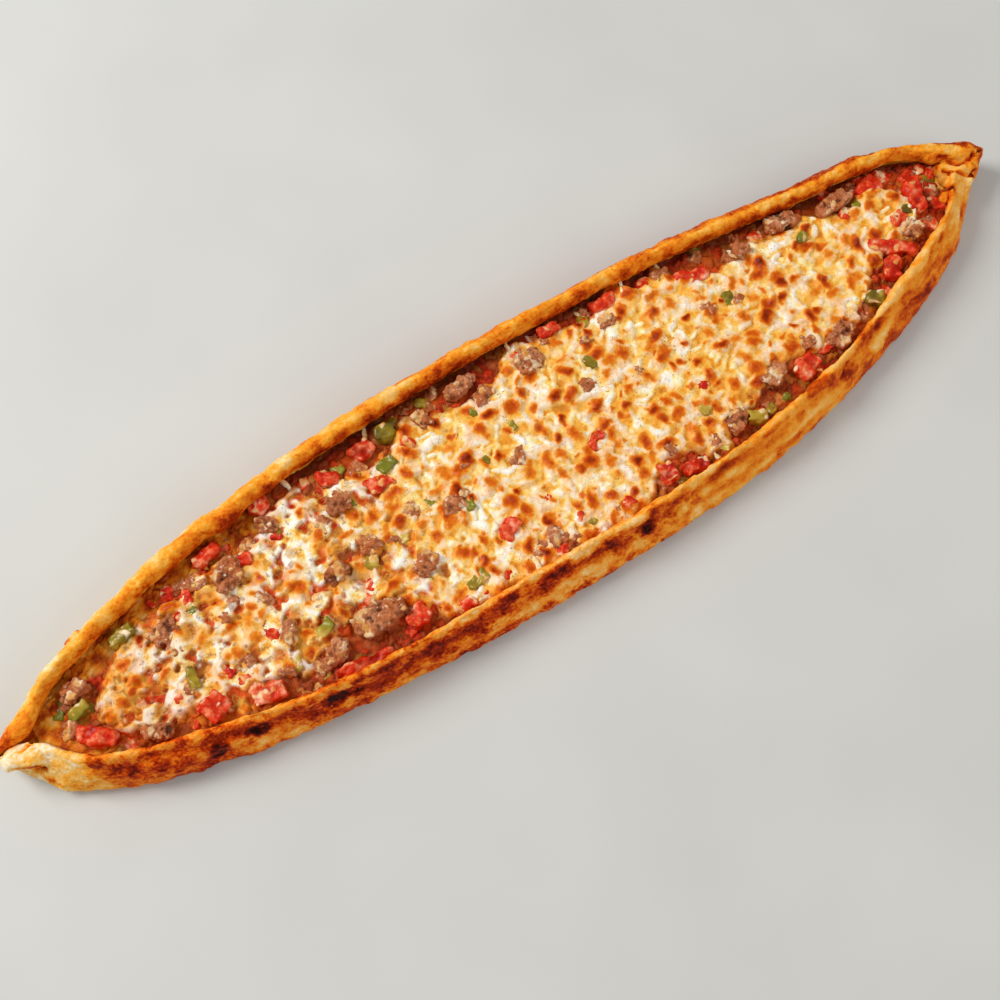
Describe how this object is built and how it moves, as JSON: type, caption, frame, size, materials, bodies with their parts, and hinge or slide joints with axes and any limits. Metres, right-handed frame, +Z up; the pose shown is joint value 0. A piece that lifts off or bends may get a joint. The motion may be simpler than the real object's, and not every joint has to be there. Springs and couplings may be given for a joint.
{
  "type": "turkish pide",
  "caption": "Long boat-shaped flatbread with rolled rims and pinched tips, filled with diced meat, tomato and green pepper under melted cheese with browned blisters.",
  "frame": {"origin": "on the plane the bread rests on, under the middle of its length and width", "axes": "+X from the left tip to the right tip along the length, +Y across towards the fuller rim, +Z up"},
  "size_m": [0.522, 0.1242, 0.025],
  "materials": {
    "baked_dough": "oven-baked wheat dough, golden with red-brown and charred spots, dry and slightly floury",
    "saucy_filling": "cooked saucy topping bed, oily orange-red",
    "melted_cheese": "melted cheese, creamy white to yellow with orange-brown blisters",
    "diced_meat": "cooked diced meat, brown, moist",
    "diced_tomato": "cooked diced tomato, wet red",
    "diced_pepper": "cooked green pepper, waxy olive green"
  },
  "bodies": {
    "root": {"cheese": "melted_cheese", "crust": "baked_dough", "filling": "saucy_filling", "meat_01": "diced_meat", "meat_02": "diced_meat", "meat_03": "diced_meat", "meat_04": "diced_meat", "meat_05": "diced_meat", "meat_06": "diced_meat", "meat_07": "diced_meat", "meat_08": "diced_meat", "meat_09": "diced_meat", "meat_10": "diced_meat", "meat_11": "diced_meat", "meat_12": "diced_meat", "meat_13": "diced_meat", "meat_14": "diced_meat", "meat_15": "diced_meat", "meat_16": "diced_meat", "meat_17": "diced_meat", "meat_18": "diced_meat", "meat_19": "diced_meat", "meat_20": "diced_meat", "meat_21": "diced_meat", "meat_22": "diced_meat", "meat_23": "diced_meat", "meat_24": "diced_meat", "pepper_01": "diced_pepper", "pepper_02": "diced_pepper", "pepper_03": "diced_pepper", "pepper_04": "diced_pepper", "pepper_05": "diced_pepper", "pepper_06": "diced_pepper", "pepper_07": "diced_pepper", "pepper_08": "diced_pepper", "pepper_09": "diced_pepper", "pepper_10": "diced_pepper", "tomato_01": "diced_tomato", "tomato_02": "diced_tomato", "tomato_03": "diced_tomato", "tomato_04": "diced_tomato", "tomato_05": "diced_tomato", "tomato_06": "diced_tomato", "tomato_07": "diced_tomato", "tomato_08": "diced_tomato", "tomato_09": "diced_tomato", "tomato_10": "diced_tomato", "tomato_11": "diced_tomato", "tomato_12": "diced_tomato", "tomato_13": "diced_tomato", "tomato_14": "diced_tomato", "tomato_15": "diced_tomato", "tomato_16": "diced_tomato", "tomato_17": "diced_tomato", "tomato_18": "diced_tomato", "tomato_19": "diced_tomato", "tomato_20": "diced_tomato", "tomato_21": "diced_tomato", "tomato_22": "diced_tomato"}
  },
  "joints": []
}
